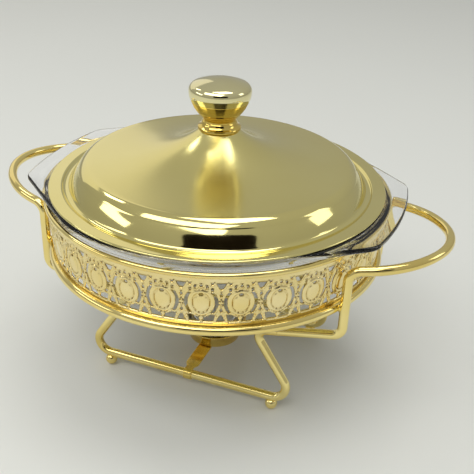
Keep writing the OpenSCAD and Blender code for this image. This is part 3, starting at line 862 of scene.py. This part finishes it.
def dish_profile(reach):
    """Profile of the dish where its rim reaches a given radius: (r, z) from the floor's underside."""
    def wall_at(z):
        return WALL_R - (FLANGE_Z - z) * tan(WALL_TAPER)

    bottom_z = dish_lo.z
    outer_c = wall_at(bottom_z + 14) - 14
    inner_c = wall_at(bottom_z + 14) - GLASS_T - 9
    tab = min(max((reach - RIM_R) / 6, 0), 1)
    top_z = RIM_Z - 0.3 * tab
    # The tabs are thinner towards their edge than the round part of the rim
    top_r = 2.3 - 0.9 * tab
    low_r = min(2.2 - 0.9 * tab, reach - WALL_R - 0.2)
    low_z = FLANGE_Z + 1.5 * tab
    profile = [(0, bottom_z + 0.5), (60, bottom_z + 0.5), (70, bottom_z + 0.35), (74, bottom_z)]
    profile += arc(outer_c, bottom_z + 14, 14, -90, -7, 12)
    profile += [(wall_at(z), z) for z in np.linspace(bottom_z + 22, FLANGE_Z - 2, 6)]
    profile += [(wall_at(FLANGE_Z) - 0.02, FLANGE_Z - 0.6), (WALL_R + 0.1, FLANGE_Z - 0.05)]
    # Under a tab the glass steps up just outside the ring, then runs parallel to its top
    inner_r, outer_r = WALL_R + 0.1, reach - low_r
    profile += [(inner_r + (outer_r - inner_r) * share, FLANGE_Z + (low_z - FLANGE_Z) * rise)
                for share, rise in ((0.12, 0.1), (0.22, 0.5), (0.32, 0.9), (0.42, 1.0))]
    profile += arc(reach - low_r, low_z + low_r, low_r, -88, 0, 6)
    profile += arc(reach - top_r, top_z - top_r, top_r, 0, 90, 8)
    mid = (reach - top_r + WALL_R - GLASS_T + 2.0) / 2
    profile += [(mid, (top_z + RIM_Z) / 2), (WALL_R - GLASS_T + 2.0, RIM_Z)]
    profile += arc(WALL_R - GLASS_T + 1.5, RIM_Z - 1.5, 1.5, 100, 176, 6)
    profile += [(wall_at(z) - GLASS_T, z) for z in np.linspace(RIM_Z - 4, bottom_z + 24, 6)]
    profile += arc(inner_c, bottom_z + FLOOR_T + 9, 9, -7, -90, 12)
    profile += [(60, bottom_z + FLOOR_T), (0, bottom_z + FLOOR_T)]
    return profile


def build_dish():
    outline = tab_outline()
    outline_angles = np.arctan2(outline[:, 1], outline[:, 0])
    outline_radii = np.hypot(outline[:, 0], outline[:, 1])
    verts, faces = [], []
    for k in range(DISH_STEPS):
        a = 2 * pi * k / DISH_STEPS
        profile = dish_profile(float(rim_reach(a, outline_angles, outline_radii)))
        size = len(profile) - 2
        verts += [(r * cos(a), r * sin(a), z) for r, z in profile[1:-1]]
    low, high = len(verts), len(verts) + 1
    verts += [(0, 0, profile[0][1]), (0, 0, profile[-1][1])]
    for k in range(DISH_STEPS):
        here, there = k * size, ((k + 1) % DISH_STEPS) * size
        faces += [(here + i, there + i, there + i + 1, here + i + 1) for i in range(size - 1)]
        faces.append((low, there, here))
        faces.append((high, here + size - 1, there + size - 1))
    place("glass_bowl", (verts, faces), GLASS, "dish", "clear_glass", "glass_dish", sharp_deg=60)


# ---------------------------------------------------------------- lid and knob

SHOULDER_R, SHOULDER_Z = 87.6, BRIM_Z + 14.05
CROWN_R = 13.0
DOME_SLOPE = 0.04
FLARE_K = 23.0


def dome_height(r):
    """A steady slope, plus a flare under the knob that dies out away from it."""
    fade = np.exp((CROWN_R - SHOULDER_R) / FLARE_K)
    flare = (CROWN_Z - SHOULDER_Z - DOME_SLOPE * (SHOULDER_R - CROWN_R)) / (1 - fade)
    return SHOULDER_Z + DOME_SLOPE * (SHOULDER_R - r) + flare * (np.exp((CROWN_R - r) / FLARE_K) - fade)


def lid_top_points():
    """Upper surface of the lid, from the brim's edge to the edge of its crown."""
    brim = arc(LID_R - 0.8, BRIM_Z - 0.8, 0.8, 0, 90, 6)
    channel = spline([(LID_R - 1.2, BRIM_Z), (110, BRIM_Z + 0.02), (106.3, BRIM_Z), (105.4, BRIM_Z - 0.25),
                      (104.6, BRIM_Z - 1.0), (103.2, BRIM_Z - 1.55), (101.9, BRIM_Z - 1.4),
                      (100.8, BRIM_Z - 0.7), (100.1, BRIM_Z + 0.3)], 7)
    lean, roll = radians(31), 10.0
    head_r, head_z = 94.3, BRIM_Z + 9.7
    wall = []
    for t in np.linspace(0.04, 0.98, 16):
        # The wall bows out a little between its foot and its head
        bow = 0.35 * sin(pi * t)
        wall.append((100.1 + (head_r - 100.1) * t + bow * cos(lean),
                     BRIM_Z + 0.3 + 9.4 * t + bow * sin(lean)))
    shoulder = arc(head_r - roll * cos(lean), head_z - roll * sin(lean), roll, 31, 72, 24)
    dome = [(r, dome_height(r)) for r in np.linspace(SHOULDER_R, CROWN_R, 90)]
    return brim + channel[1:] + wall + shoulder + dome


def build_lid():
    top = lid_top_points()
    under = offset_left(top[4:], LID_T)
    under[-1] = (CROWN_R, CROWN_Z - LID_T)
    profile = top + [(2.3, CROWN_Z), (2.3, CROWN_Z - LID_T)] + list(reversed(under))
    place("lid_dome", lathe(profile, 360), GOLD_LID, "lid", "lid_gold", "lid_shell", sharp_deg=50)


def build_knob():
    z0 = CROWN_Z
    base = arc(13.8, z0 + 0.7, 0.7, -80, 20, 5) + [(14.5, z0 + 1.6), (14.3, z0 + 2.0)]
    ring = spline([(14.0, z0 + 2.2), (12.9, z0 + 3.1), (12.2, z0 + 4.1), (11.75, z0 + 5.2),
                   (11.4, z0 + 5.75)], 5)
    stem = spline([(11.1, z0 + 6.0), (11.15, z0 + 6.9), (11.9, z0 + 8.2), (12.9, z0 + 9.4), (14.3, z0 + 11.0),
                   (15.8, z0 + 12.8), (17.0, z0 + 14.7)], 6)
    upper = spline([(17.35, z0 + 15.0), (18.0, z0 + 16.4), (18.9, z0 + 18.2), (19.45, SEAM_Z - 0.2)], 5)
    outer = base + ring + stem + upper + [(19.3, SEAM_Z)]
    inner = [(r - 1.2, z + 0.2) for r, z in reversed(stem[4:] + upper[:-2])]
    profile = [(2.0, z0), (13.6, z0)] + outer + [(18.3, SEAM_Z)] + inner
    profile += [(9.9, z0 + 7.0), (9.9, z0 + 2.5), (2.0, z0 + 2.5)]
    place("knob_bowl", lathe(profile, 192), GOLD_KNOB, "lid", "knob_gold", "knob_body", sharp_deg=28)

    edge, edge_z, turn = 5.0, KNOB_TOP - 8, 68
    dome_r = KNOB_R - edge * (1 - cos(radians(turn)))
    rise = KNOB_TOP - edge_z - edge * sin(radians(turn))
    dome = [(dome_r * (1 - t), KNOB_TOP - rise * (1 - t) ** 2) for t in np.linspace(0, 1, 18)]
    skirt = [(19.35, SEAM_Z + 0.02)] + spline([(19.65, SEAM_Z + 0.12), (20.4, SEAM_Z + 2.5),
                                               (KNOB_R - 0.05, SEAM_Z + 4.8), (KNOB_R, edge_z - 0.2)], 6)
    top = skirt + arc(KNOB_R - edge, edge_z, edge, 0, turn, 16) + dome[1:]
    plug = 18.3
    under = [(0, KNOB_TOP - 1.2), (KNOB_R - 6, KNOB_TOP - 3.7), (plug - 1.2, edge_z + 2.3),
             (plug - 1.2, SEAM_Z - 1.4), (plug, SEAM_Z - 1.4), (plug, SEAM_Z + 0.02)]
    place("knob_dome", lathe(under + top, 192, closed=False), GOLD_CAP, "lid", "knob_cap_gold", "knob_cap",
          sharp_deg=50)


# ---------------------------------------------------------------- carried-over CAD nodes

def finish_cad_nodes():
    finishes = {"knob_nut": STEEL, "knob_screw": STEEL, "knob_washer": STEEL, "wick_tab": STEEL,
                "cup_rivet": GOLD_STRAP}
    for node, material in finishes.items():
        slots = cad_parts[node].data.materials
        slots.clear()
        slots.append(material)


# ---------------------------------------------------------------- stage, light and camera

def direction(azimuth, elevation):
    """Unit direction away from the dish. Azimuth 0 is in front of it and a quarter turn is at its right."""
    return (sin(azimuth) * cos(elevation), -cos(azimuth) * cos(elevation), sin(elevation))


def build_stage():
    """Plain floor, just below the feet so that it shares no plane with them."""
    half, level = 4000.0, -0.05
    corners = [(-half, -half, level), (half, -half, level), (half, half, level), (-half, half, level)]
    floor = mesh_object("floor", corners, [(0, 1, 2, 3)], FLOOR)


# Height of the point on the dish that the lamps and the dark card face
AIM_HEIGHT = 0.15


def soft_box(name, azimuth, elevation, distance, width, height, glow, colour=(1, 1, 1)):
    """Area light that looks at the dish. Azimuth 0 is in front of it and 90 is at its right.
    Angles in degrees, lengths in metres; glow is the brightness that a mirror shows."""
    aim = Vector((0, 0, AIM_HEIGHT))
    out = Vector(direction(radians(azimuth), radians(elevation)))
    light = bpy.data.lights.new(name, "AREA")
    light.shape = "RECTANGLE"
    light.size, light.size_y = width, height
    light.energy = glow * pi * width * height
    light.color = colour
    obj = bpy.data.objects.new(name, light)
    turn = out.to_track_quat("Z", "Y").to_matrix().to_4x4()
    obj.matrix_world = Matrix.Translation(aim + distance * out) @ turn
    obj.visible_camera = False
    bpy.context.scene.collection.objects.link(obj)


def dark_card(name, azimuth, elevation, distance, width, height):
    """Dark rounded board for the person who holds the camera: it shows only in reflections and
    through glass. Angles in degrees and lengths in metres, as in soft_box."""
    a = radians(azimuth)
    out = np.array(direction(a, radians(elevation)))
    right = np.array((cos(a), sin(a), 0))
    up = np.cross(out, right)
    middle = (np.array((0, 0, AIM_HEIGHT)) + distance * out) / MM
    half_width, half_height = width / MM / 2, height / MM / 2
    corner = 0.44 * min(half_width, half_height)
    outline = []
    for sx, sy, start in ((1, 1, 0), (-1, 1, 90), (-1, -1, 180), (1, -1, 270)):
        for k in range(7):
            t = radians(start + 15 * k)
            x = sx * (half_width - corner) + corner * cos(t)
            y = sy * (half_height - corner) + corner * sin(t)
            outline.append(tuple(middle + x * right + y * up))
    card = mesh_object(name, outline, [tuple(range(len(outline)))], DARK_CLOTH)
    card.visible_camera = False
    card.visible_shadow = False
    card.visible_diffuse = False


def build_world():
    """Grey room: a little brighter overhead than near the horizon."""
    world = bpy.data.worlds.new("room")
    bpy.context.scene.world = world
    world.use_nodes = True
    tree = world.node_tree
    where = tree.nodes.new("ShaderNodeTexCoord")
    split = tree.nodes.new("ShaderNodeSeparateXYZ")
    ramp = tree.nodes.new("ShaderNodeValToRGB")
    ramp.color_ramp.elements[0].position = 0.0
    ramp.color_ramp.elements[0].color = (0.37, 0.37, 0.355, 1)
    ramp.color_ramp.elements[1].position = 0.8
    ramp.color_ramp.elements[1].color = (0.46, 0.46, 0.445, 1)
    tree.links.new(where.outputs["Generated"], split.inputs["Vector"])
    tree.links.new(split.outputs["Z"], ramp.inputs["Fac"])
    tree.links.new(ramp.outputs["Color"], tree.nodes["Background"].inputs["Color"])
    tree.nodes["Background"].inputs["Strength"].default_value = 1.0


CAMERA_AZIMUTH = radians(20.18)
CAMERA_ELEVATION = radians(28.58)
CAMERA_ROLL = radians(2.18)
CAMERA_DISTANCE = 585.3
CAMERA_AIM = Vector((4.99, 28.5, 85.0))
SENSOR_WIDTH = 36.0
FOCAL_TO_WIDTH = 1.6364


def build_camera():
    a, r = CAMERA_AZIMUTH, CAMERA_ROLL
    back = Vector(direction(a, CAMERA_ELEVATION))
    right = Vector((cos(a), sin(a), 0))
    up = back.cross(right)
    right_rolled = cos(r) * right + sin(r) * up
    up_rolled = cos(r) * up - sin(r) * right
    camera = bpy.data.cameras.new("camera")
    camera.sensor_width = SENSOR_WIDTH
    camera.lens = SENSOR_WIDTH * FOCAL_TO_WIDTH
    camera.clip_end = 50.0
    obj = bpy.data.objects.new("camera", camera)
    turn = Matrix((right_rolled, up_rolled, back)).transposed().to_4x4()
    obj.matrix_world = Matrix.Translation((CAMERA_AIM + CAMERA_DISTANCE * back) * MM) @ turn
    bpy.context.scene.collection.objects.link(obj)
    bpy.context.scene.camera = obj


# ---------------------------------------------------------------- build

place("lower_ring", wire_ring(RING_R, WIRE_R, RING_Z), GOLD_WIRE, "stand", "gold_wire", "bottom_ring")
place("upper_ring", wire_ring(TOP_RING_R, TOP_WIRE_R, TOP_RING_Z), GOLD_WIRE, "stand", "gold_wire",
      "top_ring")
build_handles()
build_feet()
build_ball_feet()
build_band()
build_burner()
build_tealight()
build_dish()
build_lid()
build_knob()
finish_cad_nodes()

build_stage()
build_world()
soft_box("ceiling_back", 150, 82, 1.6, 0.95, 0.75, 3.0)
soft_box("ceiling_left", -108, 44, 1.6, 0.30, 0.30, 3.4)
soft_box("ceiling_front", -10, 56, 1.8, 1.9, 0.9, 2.4)
soft_box("window_left", -62, 22, 2.0, 1.0, 0.34, 2.2)
soft_box("window_right", 110, 27, 2.0, 0.6, 0.7, 1.5)
soft_box("pale_wall_left", -128, 21, 2.6, 2.0, 1.3, 0.42, (1.0, 0.94, 0.84))
dark_card("camera_person", 24, 27, 1.1, 0.98, 0.46)
build_camera()

bpy.context.scene.view_settings.view_transform = "Standard"
